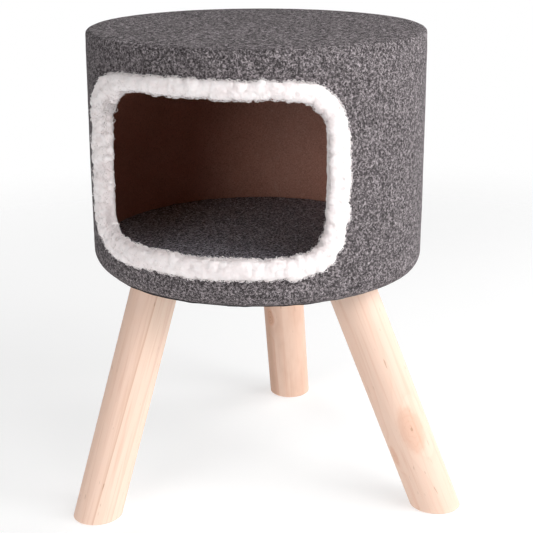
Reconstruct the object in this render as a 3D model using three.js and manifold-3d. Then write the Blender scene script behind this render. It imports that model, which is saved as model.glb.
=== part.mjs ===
// A cat stool: a round felt-covered drum with a fleece-edged entrance, on three splayed pine legs.
//
// Millimetres, +Z up. The entrance faces -Y and the stool stands on z = 0. Everything is built about
// the drum's own upright axis, and the last step moves the assembly so that the origin is the centre
// of its footprint. A bearing is measured about the drum's axis from -Y (the front) towards +X.

import * as THREE from 'three';
import { mergeVertices } from 'three/addons/utils/BufferGeometryUtils.js';
import Module from 'manifold-3d';

const wasm = await Module();
wasm.setup();

// ---------------------------------------------------------------- driving dimensions

const GAP = 0.3; // clearance between pieces that touch
const SEGMENTS = 64; // facets around the drum

const DRUM_RADIUS = 175; // outside of the felt
const DRUM_TOP = 494; // top of the seat above the floor
const DRUM_BOTTOM = 243; // underside of the dust cover above the floor
const EDGE_ROUND = 8; // outside radius of the drum's upper edge
const LOWER_ROUND = 15; // and of its lower edge

const FELT = 3;
const BOARD = 4; // wall of the bent shell
const TOP_PANEL = 12;
const TOP_FOAM = 6;
const BASE_PANEL = 16;
const LINING = 0.8;
const LINING_RADIUS = 162;
const HEM_RADIUS = 150; // inner edge of the felt turned under the base

const OPENING_HALF_WIDTH = 131; // along the curved face
const OPENING_LOW = 288;
const OPENING_HIGH = 453;
const OPENING_CORNER = 30;

const TRIM_REACH_SIDE = 16; // how far the fleece laps the felt, beyond the cut edge
const TRIM_REACH_TOP = 8.5;
const TRIM_REACH_BOTTOM = 11;
const TRIM_LIP = 7; // how far it fills into the opening
const TRIM_BULGE = 7.5; // how far it stands off the felt
const TRIM_INSIDE_LAP = 8; // lap on the inside of the shell
const TRIM_INSIDE = 3.5; // thickness of that lap

const PAD_RADIUS = 163;
const PAD_THICKNESS = 9.5; // at the crown
const PAD_EDGE = 7.5; // at the rim
const PAD_COVER = 2;

const LEG_RADIUS = 24.6;
const LEG_TOP_RADIUS = 127; // where each leg meets the base, from the drum's axis
const LEGS = [
  { name: 'front_left', topBearing: -36, footBearing: -35, footRadius: 209.5 },
  { name: 'front_right', topBearing: 66.5, footBearing: 80, footRadius: 215 },
  { name: 'back', topBearing: 188, footBearing: 188, footRadius: 212 },
];

const BOLT_RADIUS = 4;
const BOLT_IN_LEG = 32;
const NUT_BARREL_RADIUS = 5.2;
const NUT_BARREL = 9;
const NUT_FLANGE_RADIUS = 11;
const NUT_FLANGE = 1.5;
const PRONGS = 4;
const PRONG_LENGTH = 6;
const PRONG_WIDTH = 3;
const PRONG_THICKNESS = 1.2;

const STAPLE_WIRE = 1.2;
const STAPLE_CROWN = 10;
const RIM_STAPLES = 8; // in each of the two discs
const RIM_STAPLE_LEG = 11;
const SEAM_BEARING = 100; // bearing of the shell's lapped seam
const SEAM_STAPLES = 3;
const SEAM_STAPLE_LEG = 3.4;
const HEM_STAPLES = 9;
const HEM_STAPLE_LEG = 9;
const HEM_STAPLE_RADIUS = 157;

// ---------------------------------------------------------------- derived levels and radii

const feltInner = DRUM_RADIUS - FELT;
const shellOuter = feltInner - GAP;
const shellInner = shellOuter - BOARD;
const panelRadius = shellInner - GAP;
const edgeCentre = DRUM_RADIUS - EDGE_ROUND; // radius of the upper round's centre
const innerRound = EDGE_ROUND - FELT;
const coreRound = innerRound - GAP;
const lowerCentre = DRUM_RADIUS - LOWER_ROUND; // radius of the lower round's centre
const lowerInnerRound = LOWER_ROUND - FELT;
const lowerCoreRound = lowerInnerRound - GAP;

const foamTop = DRUM_TOP - FELT - GAP;
const foamBottom = foamTop - TOP_FOAM;
const shellTop = foamBottom - GAP;
const topPanelBottom = shellTop - TOP_PANEL;
const seamLevel = DRUM_TOP - EDGE_ROUND - 2; // where the top felt meets the side wrap

const liningTop = DRUM_BOTTOM + LINING;
const hemBottom = liningTop + GAP;
const hemTop = hemBottom + FELT;
const basePanelBottom = hemTop + GAP;
const basePanelTop = basePanelBottom + BASE_PANEL;
const lowerCentreLevel = hemBottom + LOWER_ROUND;
const shellBottom = lowerCentreLevel + GAP;
const legTop = DRUM_BOTTOM - GAP;

const deg = THREE.MathUtils.degToRad;

// ---------------------------------------------------------------- materials

const material = (color, roughness, metalness = 0) =>
  new THREE.MeshStandardMaterial({ color, roughness, metalness });

const felt = material(0x666265, 0.95);
const padFelt = material(0x4a474b, 0.95);
const fleece = material(0xece5e4, 1);
const hardboard = material(0x6b4534, 0.6);
const fibreboard = material(0xb08d68, 0.8);
const foam = material(0xe6dfc4, 0.9);
const dustCover = material(0x1b1b1d, 0.9);
const pine = material(0xf0d0b8, 0.55);
const zinc = material(0xb9bcc0, 0.35, 1);

// ---------------------------------------------------------------- solids

// A geometry's surface as a manifold solid.
function solid(geometry) {
  const bare = geometry.clone();
  bare.deleteAttribute('normal');
  bare.deleteAttribute('uv');
  const merged = mergeVertices(bare, 1e-4);
  return new wasm.Manifold(
    new wasm.Mesh({
      numProp: 3,
      vertProperties: new Float32Array(merged.attributes.position.array),
      triVerts: new Uint32Array(merged.index.array),
    }),
  );
}

// A manifold solid as a geometry.
function geometryOf(manifold) {
  const { vertProperties, triVerts } = manifold.getMesh();
  const geometry = new THREE.BufferGeometry();
  geometry.setAttribute('position', new THREE.BufferAttribute(new Float32Array(vertProperties), 3));
  geometry.setIndex(new THREE.BufferAttribute(new Uint32Array(triVerts), 1));
  geometry.computeVertexNormals();
  return geometry;
}

// A ring or disc turned about +Z from [radius, height] points, given anticlockwise.
function turned(points, segments = SEGMENTS) {
  const profile = points.map(([radius, height]) => new THREE.Vector2(radius, height));
  const closed = points[0][0] > 0;
  if (closed) profile.push(profile[0].clone());
  return new THREE.LatheGeometry(profile, segments).rotateX(Math.PI / 2);
}

// Points of a round in a [radius, height] profile, from one angle to another in degrees.
function round(centreR, centreZ, radius, from, to, steps = 3) {
  return Array.from({ length: steps + 1 }, (_, i) => {
    const angle = deg(from + ((to - from) * i) / steps);
    return [centreR + radius * Math.cos(angle), centreZ + radius * Math.sin(angle)];
  });
}

function plate(radius, low, high) {
  return turned([[0, low], [radius, low], [radius, high], [0, high]]);
}

// Where a bearing and a radius fall in plan.
function inPlan(bearing, radius) {
  return new THREE.Vector2(radius * Math.sin(deg(bearing)), -radius * Math.cos(deg(bearing)));
}

// Carries a geometry drawn at the front, outside towards -Y, round to a bearing.
function toBearing(geometry, bearing) {
  return geometry.rotateZ(deg(bearing));
}

// ---------------------------------------------------------------- the entrance

// The entrance's outline on the unrolled wall: x along the curved face, y up.
function openingShape() {
  const side = OPENING_HALF_WIDTH - OPENING_CORNER;
  const low = OPENING_LOW + OPENING_CORNER;
  const high = OPENING_HIGH - OPENING_CORNER;
  const centres = [[side, low], [side, high], [-side, high], [-side, low]];
  const shape = new THREE.Shape();
  centres.forEach(([x, y], quarter) => {
    const start = ((quarter - 1) * Math.PI) / 2;
    shape.absarc(x, y, OPENING_CORNER, start, start + Math.PI / 2);
  });
  shape.closePath();
  return shape;
}

// Bends a flat point (x along the face, y up, z off the felt) round the drum.
function bend(x, y, z) {
  const angle = x / DRUM_RADIUS;
  const radius = DRUM_RADIUS + z;
  return new THREE.Vector3(radius * Math.sin(angle), -radius * Math.cos(angle), y);
}

// The block that cuts the entrance. It runs far enough in and out for its flat ends to clear the wall.
const CUTTER_INSIDE = 60;
const CUTTER_OUTSIDE = 95;
const CUTTER_LAYERS = 31; // keeps the bent corners from twisting across the wall
const STEP_ALONG = 11; // longest stretch of outline that may stay straight

function openingCutter() {
  const outline = openingShape();
  const count = Math.round(outline.getLength() / STEP_ALONG);
  const corners = outline.getSpacedPoints(count).slice(0, -1);
  const flat = new THREE.ExtrudeGeometry(new THREE.Shape(corners), {
    depth: CUTTER_INSIDE + CUTTER_OUTSIDE,
    steps: CUTTER_LAYERS,
    bevelEnabled: false,
  });
  const position = flat.attributes.position;
  for (let i = 0; i < position.count; i += 1) {
    const bent = bend(position.getX(i), position.getY(i), position.getZ(i) - CUTTER_INSIDE);
    position.setXYZ(i, bent.x, bent.y, bent.z);
  }
  return solid(flat);
}

// The fleece strip: one closed channel swept round the cut edge. Its section is drawn in
// [s, z]: s is the distance from the cut edge over the wall, z the distance off the felt. The
// shares of reach, bulge and lip in it set how plump the strip is.
function trimSection(reach) {
  const inside = -(FELT + GAP + BOARD + GAP);
  return [
    [-GAP, inside],
    [-GAP, GAP],
    [reach, GAP],
    [reach * 0.8, TRIM_BULGE * 0.62],
    [reach * 0.35, TRIM_BULGE * 0.96],
    [-TRIM_LIP * 0.35, TRIM_BULGE * 0.86],
    [-TRIM_LIP, TRIM_BULGE * 0.2],
    [-TRIM_LIP, inside * 0.75],
    [-TRIM_LIP * 0.4, inside - TRIM_INSIDE * 0.85],
    [TRIM_INSIDE_LAP * 0.7, inside - TRIM_INSIDE],
    [TRIM_INSIDE_LAP, inside],
  ];
}

function openingTrim() {
  const outline = openingShape();
  const count = Math.round(outline.getLength() / STEP_ALONG);
  const stations = outline.getSpacedPoints(count).slice(0, -1);
  const positions = [];
  stations.forEach((point, i) => {
    const before = stations[(i + count - 1) % count];
    const after = stations[(i + 1) % count];
    const along = after.clone().sub(before).normalize();
    const outward = new THREE.Vector2(along.y, -along.x); // away from the opening
    const upright = outward.y > 0 ? TRIM_REACH_TOP : TRIM_REACH_BOTTOM;
    const reach = outward.x ** 2 * TRIM_REACH_SIDE + outward.y ** 2 * upright;
    for (const [s, z] of trimSection(reach)) {
      const flat = point.clone().addScaledVector(outward, s);
      positions.push(...bend(flat.x, flat.y, z).toArray());
    }
  });
  const ring = trimSection(1).length;
  const index = [];
  for (let i = 0; i < count; i += 1) {
    for (let j = 0; j < ring; j += 1) {
      const a = i * ring + j;
      const b = i * ring + ((j + 1) % ring);
      const c = ((i + 1) % count) * ring + j;
      const d = ((i + 1) % count) * ring + ((j + 1) % ring);
      index.push(a, c, b, b, c, d);
    }
  }
  const geometry = new THREE.BufferGeometry();
  geometry.setAttribute('position', new THREE.Float32BufferAttribute(positions, 3));
  geometry.setIndex(index);
  geometry.computeVertexNormals();
  return geometry;
}

// ---------------------------------------------------------------- staples

// A staple at the front of the drum, crown level and outermost, driven towards +Y.
function stapleGeometry(leg, clearance = 0) {
  const half = STAPLE_CROWN / 2 + clearance;
  const wire = STAPLE_WIRE + 2 * clearance;
  const shape = new THREE.Shape([
    new THREE.Vector2(-half, -clearance),
    new THREE.Vector2(half, -clearance),
    new THREE.Vector2(half, leg + clearance),
    new THREE.Vector2(half - wire, leg + clearance),
    new THREE.Vector2(half - wire, STAPLE_WIRE + clearance),
    new THREE.Vector2(-half + wire, STAPLE_WIRE + clearance),
    new THREE.Vector2(-half + wire, leg + clearance),
    new THREE.Vector2(-half, leg + clearance),
  ]);
  const geometry = new THREE.ExtrudeGeometry(shape, { depth: wire, bevelEnabled: false });
  return geometry.translate(0, 0, -wire / 2);
}

// A staple whose crown sits just under the shell's surface at a bearing and a level.
function wallStaple(bearing, level, leg, clearance = 0) {
  const geometry = stapleGeometry(leg, clearance).translate(0, -shellOuter + GAP, level);
  return toBearing(geometry, bearing);
}

// A staple driven straight up from below, its crown pointing along the rim.
function hemStaple(bearing, clearance = 0) {
  const geometry = stapleGeometry(HEM_STAPLE_LEG, clearance).rotateX(Math.PI / 2);
  const crown = DRUM_BOTTOM - GAP - STAPLE_WIRE;
  return toBearing(geometry.translate(0, -HEM_STAPLE_RADIUS, crown), bearing);
}

const topStapleLevel = (topPanelBottom + shellTop) / 2;
const baseStapleLevel = (shellBottom + basePanelTop) / 2;
const seamStapleLevels = Array.from(
  { length: SEAM_STAPLES },
  (_, i) => OPENING_LOW + ((OPENING_HIGH - OPENING_LOW) * (i + 0.5)) / SEAM_STAPLES,
);
const rimBearings = Array.from({ length: RIM_STAPLES }, (_, i) => ((i + 0.5) * 360) / RIM_STAPLES);
const hemBearings = Array.from({ length: HEM_STAPLES }, (_, i) => ((i + 0.25) * 360) / HEM_STAPLES);

// Every staple as [name, maker]; the maker takes the clearance to leave round it.
const stapleRow = (name, places, make) =>
  places.map((place, i) => [`${name}_${i + 1}`, (clearance) => make(place, clearance)]);
const staples = [
  ...stapleRow('top_staple', rimBearings, (b, c) => wallStaple(b, topStapleLevel, RIM_STAPLE_LEG, c)),
  ...stapleRow('base_staple', rimBearings, (b, c) => wallStaple(b, baseStapleLevel, RIM_STAPLE_LEG, c)),
  ...stapleRow('seam_staple', seamStapleLevels, (z, c) => wallStaple(SEAM_BEARING, z, SEAM_STAPLE_LEG, c)),
  ...stapleRow('hem_staple', hemBearings, hemStaple),
];
const stapleHoles = wasm.Manifold.union(staples.map(([, make]) => solid(make(GAP))));

// ---------------------------------------------------------------- drum

// The shell's two ends lie over each other as a slant through the wall.
const LAP_SLOT = 0.4;
const LAP_LENGTH = 16;

function lapSlot() {
  const slant = Math.atan2(BOARD, LAP_LENGTH);
  const length = Math.hypot(BOARD, LAP_LENGTH) + BOARD;
  const slot = new THREE.BoxGeometry(length, LAP_SLOT, shellTop - shellBottom + BOARD);
  slot.rotateZ(slant).translate(0, -(shellOuter + shellInner) / 2, (shellTop + shellBottom) / 2);
  return solid(toBearing(slot, SEAM_BEARING));
}

function drumShell(opening) {
  const wall = turned([
    [shellInner, shellBottom],
    [shellOuter, shellBottom],
    [shellOuter, shellTop],
    [shellInner, shellTop],
  ]);
  return geometryOf(solid(wall).subtract(opening).subtract(stapleHoles).subtract(lapSlot()));
}

// The wrap's upright seam shows as a shallow groove at the back.
const SEAM_GROOVE = 1;
const LOWER_STEPS = 4; // facets over the lower round

function sideFelt(opening) {
  const wrap = turned([
    [HEM_RADIUS, hemBottom],
    ...round(lowerCentre, lowerCentreLevel, LOWER_ROUND, -90, 0, LOWER_STEPS),
    [DRUM_RADIUS, seamLevel - GAP],
    [feltInner, seamLevel - GAP],
    ...round(lowerCentre, lowerCentreLevel, lowerInnerRound, 0, -90, LOWER_STEPS),
    [HEM_RADIUS, hemTop],
  ]);
  const groove = new THREE.BoxGeometry(SEAM_GROOVE, SEAM_GROOVE, DRUM_TOP);
  groove.rotateZ(Math.PI / 4).translate(0, DRUM_RADIUS, DRUM_TOP / 2);
  return geometryOf(solid(wrap).subtract(opening).subtract(solid(groove)).subtract(stapleHoles));
}

function topFelt() {
  const centre = DRUM_TOP - EDGE_ROUND;
  return turned([
    [0, DRUM_TOP - FELT],
    ...round(edgeCentre, centre, innerRound, 90, 0),
    [feltInner, seamLevel],
    [DRUM_RADIUS, seamLevel],
    ...round(edgeCentre, centre, EDGE_ROUND, 0, 90),
    [0, DRUM_TOP],
  ]);
}

function topFoam() {
  return turned([
    [0, foamBottom],
    [shellOuter, foamBottom],
    ...round(edgeCentre, DRUM_TOP - EDGE_ROUND, coreRound, 0, 90),
    [0, foamTop],
  ]);
}

function topPanel() {
  return geometryOf(solid(plate(panelRadius, topPanelBottom, shellTop)).subtract(stapleHoles));
}

// The base disc is rebated: its rim carries the shell and its round fills the felt's lower edge.
function basePanel(nutHoles) {
  const disc = turned([
    [0, basePanelBottom],
    ...round(lowerCentre, lowerCentreLevel, lowerCoreRound, -90, 0, LOWER_STEPS),
    [panelRadius, lowerCentreLevel],
    [panelRadius, basePanelTop],
    [0, basePanelTop],
  ]);
  return geometryOf(solid(disc).subtract(stapleHoles).subtract(nutHoles));
}

function baseLining(boltHoles) {
  const sheet = solid(plate(LINING_RADIUS, DRUM_BOTTOM, liningTop));
  return geometryOf(sheet.subtract(stapleHoles).subtract(boltHoles));
}

// ---------------------------------------------------------------- floor pad

const padBottom = basePanelTop + GAP;
const padRim = padBottom + PAD_EDGE;
const padCrown = padBottom + PAD_THICKNESS;
const PAD_ROUND = 3;
const CROWN_RADIUS = 0.72; // share of the radius where the pad starts to fall to its rim

function padCoverBase() {
  return plate(PAD_RADIUS - 2 * PAD_COVER, padBottom, padBottom + PAD_COVER);
}

function padCoverTop() {
  const inner = PAD_RADIUS - PAD_COVER;
  const roundOf = (radius) => round(PAD_RADIUS - PAD_ROUND, padRim - PAD_ROUND, radius, 0, 90, 2);
  return turned([
    [0, padCrown - PAD_COVER],
    [PAD_RADIUS * CROWN_RADIUS, padCrown - PAD_COVER],
    ...roundOf(PAD_ROUND - PAD_COVER).reverse(),
    [inner, padBottom],
    [PAD_RADIUS, padBottom],
    ...roundOf(PAD_ROUND),
    [PAD_RADIUS * CROWN_RADIUS, padCrown],
    [0, padCrown],
  ]);
}

function padFoam() {
  const radius = PAD_RADIUS - 2 * PAD_COVER;
  const low = padBottom + PAD_COVER + GAP;
  return turned([
    [0, low],
    [radius, low],
    [radius, padRim - PAD_COVER - 2 * GAP],
    [PAD_RADIUS * CROWN_RADIUS, padCrown - PAD_COVER - GAP],
    [0, padCrown - PAD_COVER - GAP],
  ]);
}

// ---------------------------------------------------------------- legs and their fixings

const LEG_SEGMENTS = 40;
const CYLINDER_AXIS = new THREE.Vector3(0, 1, 0); // the way a new cylinder points

// A round leg on a slope between two points in plan, cut level at both ends.
function legRound(foot, top) {
  const sloping = new THREE.Vector3(top.x - foot.x, top.y - foot.y, legTop);
  const overrun = 2 * LEG_RADIUS;
  const stick = new THREE.CylinderGeometry(LEG_RADIUS, LEG_RADIUS, sloping.length() + overrun, LEG_SEGMENTS);
  const middle = new THREE.Vector3((foot.x + top.x) / 2, (foot.y + top.y) / 2, legTop / 2);
  const turn = new THREE.Quaternion().setFromUnitVectors(CYLINDER_AXIS, sloping.normalize());
  stick.applyQuaternion(turn).translate(middle.x, middle.y, middle.z);
  const slab = new THREE.BoxGeometry(4 * DRUM_RADIUS, 4 * DRUM_RADIUS, legTop).translate(0, 0, legTop / 2);
  return solid(stick).intersect(solid(slab));
}

const ROD_SEGMENTS = 16;

function upright(radius, low, high) {
  const rod = new THREE.CylinderGeometry(radius, radius, high - low, ROD_SEGMENTS);
  return rod.rotateX(Math.PI / 2).translate(0, 0, (low + high) / 2);
}

const nutTop = basePanelTop - GAP;
const nutSeat = nutTop - NUT_FLANGE;
const boltBottom = legTop - BOLT_IN_LEG;
const boltTop = nutTop;
const BOLT_POINT = 2;

function hangerBolt() {
  return turned(
    [
      [0, boltBottom],
      [BOLT_RADIUS - BOLT_POINT, boltBottom],
      [BOLT_RADIUS, boltBottom + BOLT_POINT],
      [BOLT_RADIUS, boltTop - BOLT_POINT / 2],
      [BOLT_RADIUS - BOLT_POINT / 2, boltTop],
      [0, boltTop],
    ],
    ROD_SEGMENTS,
  );
}

function teeNut(clearance = 0) {
  const flange = solid(upright(NUT_FLANGE_RADIUS + clearance, nutSeat - clearance, nutTop + 2 * clearance));
  const barrelEnd = nutSeat - NUT_BARREL - clearance;
  const barrel = solid(upright(NUT_BARREL_RADIUS + clearance, barrelEnd, nutTop - GAP));
  const prongs = Array.from({ length: PRONGS }, (_, i) => {
    const thickness = PRONG_THICKNESS + 2 * clearance;
    const prong = new THREE.BoxGeometry(thickness, PRONG_WIDTH + 2 * clearance, PRONG_LENGTH + clearance);
    prong.translate(NUT_FLANGE_RADIUS - PRONG_THICKNESS, 0, nutSeat - (PRONG_LENGTH + clearance) / 2 + GAP);
    return solid(prong.rotateZ((i * 2 * Math.PI) / PRONGS));
  });
  return wasm.Manifold.union([flange, barrel, ...prongs]);
}

const boltHole = solid(upright(BOLT_RADIUS + GAP, boltBottom - GAP, basePanelTop + GAP));

// ---------------------------------------------------------------- assembly

const assembly = new THREE.Group();

function add(name, geometry, look) {
  const mesh = new THREE.Mesh(geometry, look);
  mesh.name = name;
  assembly.add(mesh);
  return mesh;
}

const opening = openingCutter();
const boltPlaces = LEGS.map(({ topBearing }) => inPlan(topBearing, LEG_TOP_RADIUS));
const atEachBolt = (hole) => wasm.Manifold.union(boltPlaces.map(({ x, y }) => hole.translate(x, y, 0)));
const boltHoles = atEachBolt(boltHole);
const nutHoles = atEachBolt(teeNut(GAP).add(boltHole));

add('drum_shell', drumShell(opening), hardboard);
add('top_panel', topPanel(), fibreboard);
add('top_foam', topFoam(), foam);
add('top_felt', topFelt(), felt);
add('side_felt', sideFelt(opening), felt);
add('opening_trim', openingTrim(), fleece);
add('base_panel', basePanel(nutHoles), fibreboard);
add('base_lining', baseLining(boltHoles), dustCover);

add('pad_cover_top', padCoverTop(), padFelt);
add('pad_foam', padFoam(), foam);
add('pad_cover_base', padCoverBase(), dustCover);

LEGS.forEach(({ name, footBearing, footRadius }, i) => {
  const top = boltPlaces[i];
  const foot = inPlan(footBearing, footRadius);
  add(`leg_${name}`, geometryOf(legRound(foot, top).subtract(boltHoles)), pine);
  add(`hanger_bolt_${name}`, hangerBolt(), zinc).position.set(top.x, top.y, 0);
  add(`tee_nut_${name}`, geometryOf(teeNut().subtract(boltHole)), zinc).position.set(top.x, top.y, 0);
});

for (const [name, make] of staples) add(name, make(0), zinc);

// The origin is the centre of the footprint, on the floor.
const footprint = new THREE.Box3().setFromObject(assembly).getCenter(new THREE.Vector3());
assembly.position.set(-footprint.x, -footprint.y, 0);

const stool = new THREE.Group();
stool.add(assembly);

export default stool;
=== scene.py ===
"""A cat stool: a felt covered drum with a fleece rimmed entrance, on three splayed pine legs.

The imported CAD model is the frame. Each soft or turned part gets a finer piece that stands in its place,
and the hard parts inside keep their CAD shape with a finish of their own. Lengths are in metres.
"""

import itertools
import math

import bpy
import numpy as np
from mathutils import Matrix, Vector
from mathutils.kdtree import KDTree


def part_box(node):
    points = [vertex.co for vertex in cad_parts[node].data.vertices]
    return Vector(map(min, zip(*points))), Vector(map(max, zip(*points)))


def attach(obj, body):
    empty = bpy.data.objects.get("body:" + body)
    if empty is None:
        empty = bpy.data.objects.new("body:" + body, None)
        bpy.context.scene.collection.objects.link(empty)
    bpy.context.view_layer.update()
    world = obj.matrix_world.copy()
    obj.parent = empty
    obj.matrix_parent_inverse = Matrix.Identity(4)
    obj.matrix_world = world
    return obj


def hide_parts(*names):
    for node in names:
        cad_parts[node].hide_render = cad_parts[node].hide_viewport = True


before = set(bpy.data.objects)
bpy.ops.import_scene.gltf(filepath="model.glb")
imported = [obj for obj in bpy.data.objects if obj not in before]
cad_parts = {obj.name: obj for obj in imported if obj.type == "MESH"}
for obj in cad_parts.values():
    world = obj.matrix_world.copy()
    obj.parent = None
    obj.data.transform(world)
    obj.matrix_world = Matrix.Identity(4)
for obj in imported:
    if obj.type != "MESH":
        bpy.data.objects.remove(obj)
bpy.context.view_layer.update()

# The drum, measured on its CAD nodes.
FELT_LOW, FELT_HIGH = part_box("side_felt")
TOP_LOW, TOP_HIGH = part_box("top_felt")
AXIS = (TOP_LOW + TOP_HIGH) / 2
DRUM_RADIUS = (TOP_HIGH.x - TOP_LOW.x) / 2
TOP_LEVEL = TOP_HIGH.z
SEAM_LEVEL = (TOP_LOW.z + FELT_HIGH.z) / 2
HEM_LEVEL = FELT_LOW.z
FELT = 0.003
EDGE_ROUND = 0.005  # of the lid's edge
LOWER_ROUND = 0.015  # of the wall's lower edge
LOWER_PULL = 0.0055  # how much rounder the felt is drawn at its tightest place
LOWER_PULL_BEARING = math.radians(-80)
HEM_RADIUS = 0.150
BOARD_OUTSIDE = 0.1717
BOARD_INSIDE = 0.1677
BOARD_LOW, BOARD_HIGH = (corner.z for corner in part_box("drum_shell"))
LAP_BEARING = math.radians(100)

# The entrance, along the arc and up the wall.
HALF_WIDTH = 0.131
ENTRANCE_LOW = 0.288
ENTRANCE_HIGH = 0.453
ENTRANCE_CORNER = 0.030

# The legs.
LEG_RADIUS = 0.0246
LEG_SIDES = 96
LEG_RINGS = 90
LEG_MIDDLE = 0.128
KNOT_DEPTH_SHARE = 60.0  # keeps a knot off the far side of its leg

# The view.
CAMERA_BEARING = math.radians(19.1)
CAMERA_DISTANCE = 1.3224
CAMERA_LEVEL = 0.6489
CAMERA_PITCH = 0.3043
CAMERA_YAW = 0.0072
CAMERA_ROLL = -0.0035
CAMERA_LENS = 85.78
SENSOR_WIDTH = 36.0


# ---------------------------------------------------------------- shapes in numbers


class Noise:
    """Smooth random values over space, from -1 to 1, the same on every run."""

    SIZE = 32

    def __init__(self, seed):
        self.table = np.random.default_rng(seed).uniform(-1, 1, (self.SIZE,) * 3)

    def __call__(self, points, cell):
        place = np.asarray(points) / cell
        base = np.floor(place).astype(int)
        part = place - base
        part = part * part * (3 - 2 * part)
        total = 0.0
        for corner in itertools.product((0, 1), repeat=3):
            weight = np.prod(np.where(corner, part, 1 - part), axis=-1)
            index = (base + corner) % self.SIZE
            total = total + weight * self.table[index[..., 0], index[..., 1], index[..., 2]]
        return total


def around(bearing, radius, level):
    """Points at a bearing from the entrance towards +X, a radius from the drum's axis and a level."""
    bearing, radius, level = np.broadcast_arrays(bearing, radius, level)
    return np.stack([AXIS.x + radius * np.sin(bearing), AXIS.y - radius * np.cos(bearing), level], axis=-1)


def grid_quads(rows, columns, wrap_rows=False, wrap_columns=False):
    """The quads of a grid of points numbered row by row."""
    row = np.arange(rows if wrap_rows else rows - 1)[:, None]
    column = np.arange(columns if wrap_columns else columns - 1)[None, :]
    next_row = (row + 1) % rows
    next_column = (column + 1) % columns
    corners = [row * columns + column, next_row * columns + column]
    corners += [next_row * columns + next_column, row * columns + next_column]
    return np.stack([np.broadcast_to(c, (row.size, column.size)) for c in corners], axis=-1).reshape(-1, 4)


def disc_grid(cells):
    """A square grid wound onto a disc: each point's bearing and share of the radius, and the quads."""
    line = np.linspace(-1, 1, cells + 1)
    a, b = (side.ravel() for side in np.meshgrid(line, line, indexing="ij"))
    share = np.maximum(abs(a), abs(b))
    wide = abs(a) >= abs(b)
    large = np.where(wide, a, b)
    small = np.where(wide, b, a)
    turn = math.pi / 4 * small / np.where(large == 0, 1, large)
    bearing = np.where(wide, turn, math.pi / 2 - turn) + np.where(large < 0, math.pi, 0)
    return bearing, share, grid_quads(cells + 1, cells + 1)


def closed_sheet(upper, under, quads):
    """Points and quads of a sheet with two layers and a wall round every open edge."""
    count = len(upper)
    edges = np.concatenate([quads[:, [k, (k + 1) % 4]] for k in range(4)])
    forward = edges[:, 0] * count + edges[:, 1]
    backward = edges[:, 1] * count + edges[:, 0]
    rim = edges[~np.isin(forward, backward)]
    walls = np.column_stack([rim[:, 1], rim[:, 0], rim[:, 0] + count, rim[:, 1] + count])
    return np.concatenate([upper, under]), np.concatenate([quads, quads[:, ::-1] + count, walls])


def grid_normals(points, wrap_rows=True, wrap_columns=True):
    """Unit normals of a grid of points, from its neighbours along both ways of the grid."""

    def across(axis, wrap):
        step = np.roll(points, -1, axis) - np.roll(points, 1, axis)
        if not wrap:
            last = points.shape[axis] - 1
            ends = np.take(points, [1, last], axis) - np.take(points, [0, last - 1], axis)
            step = np.concatenate(
                [
                    np.take(ends, [0], axis),
                    np.take(step, range(1, last), axis),
                    np.take(ends, [1], axis),
                ],
                axis,
            )
        return step

    normal = np.cross(across(0, wrap_rows), across(1, wrap_columns))
    return normal / np.linalg.norm(normal, axis=-1, keepdims=True)


def along_path(points, count):
    """A path of straight steps cut into equal steps."""
    points = np.asarray(points, float)
    steps = np.linalg.norm(np.diff(points, axis=0), axis=1)
    reached = np.concatenate([[0], np.cumsum(steps)])
    wanted = np.linspace(0, reached[-1], count)
    return np.column_stack([np.interp(wanted, reached, points[:, k]) for k in range(points.shape[1])])


def arc(centre, radius, start, end, count=12):
    """Points on an arc in a plane, from one angle to another."""
    angle = np.radians(np.linspace(start, end, count))
    return [(centre[0] + radius * math.cos(a), centre[1] + radius * math.sin(a)) for a in angle]


def smooth_step(value, start, end):
    """0 before start, 1 after end, and smooth between them."""
    share = np.clip((value - start) / (end - start), 0, 1)
    return share * share * (3 - 2 * share)


# ---------------------------------------------------------------- pieces


def faces_of(groups):
    """Groups of faces with the same number of corners, as one list."""
    return [face for group in groups for face in np.asarray(group).tolist()]


def used_sheet(upper, under, quads):
    """A closed sheet made only of the points that its quads use."""
    used = np.unique(quads)
    renumber = np.zeros(len(upper), int)
    renumber[used] = np.arange(len(used))
    return closed_sheet(upper[used], under[used], renumber[quads])


def inside_out(points, groups):
    """Whether a closed mesh's faces point inwards, from the sign of its volume."""
    volume = 0.0
    for group in groups:
        corners = points[np.asarray(group)]
        for k in range(1, corners.shape[1] - 1):
            volume += np.einsum("ij,ij->", corners[:, 0], np.cross(corners[:, k], corners[:, k + 1]))
    return volume < 0


def new_object(name, data):
    """An object in the scene that holds a mesh, a light or a camera."""
    made = bpy.data.objects.new(name, data)
    bpy.context.scene.collection.objects.link(made)
    return made


def make_piece(name, points, groups, material, body="stool", stands_for=(), crease=40):
    """A closed mesh as a piece that rides on a body."""
    points = np.asarray(points, float).reshape(-1, 3)
    if inside_out(points - points.mean(0), groups):
        groups = [np.asarray(group)[:, ::-1] for group in groups]
    mesh = bpy.data.meshes.new(name)
    mesh.from_pydata(points.tolist(), [], faces_of(groups))
    mesh.shade_smooth()
    mesh.set_sharp_from_angle(angle=math.radians(crease))
    mesh.materials.append(material)
    piece = new_object(name, mesh)
    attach(piece, body)
    if stands_for:
        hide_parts(*stands_for)
    return piece


# ---------------------------------------------------------------- materials


# The socket numbers of a colour Mix node: its share, its two colours and their blend.
MIX_SHARE, MIX_FIRST, MIX_SECOND, MIX_RESULT = 0, 6, 7, 2


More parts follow.
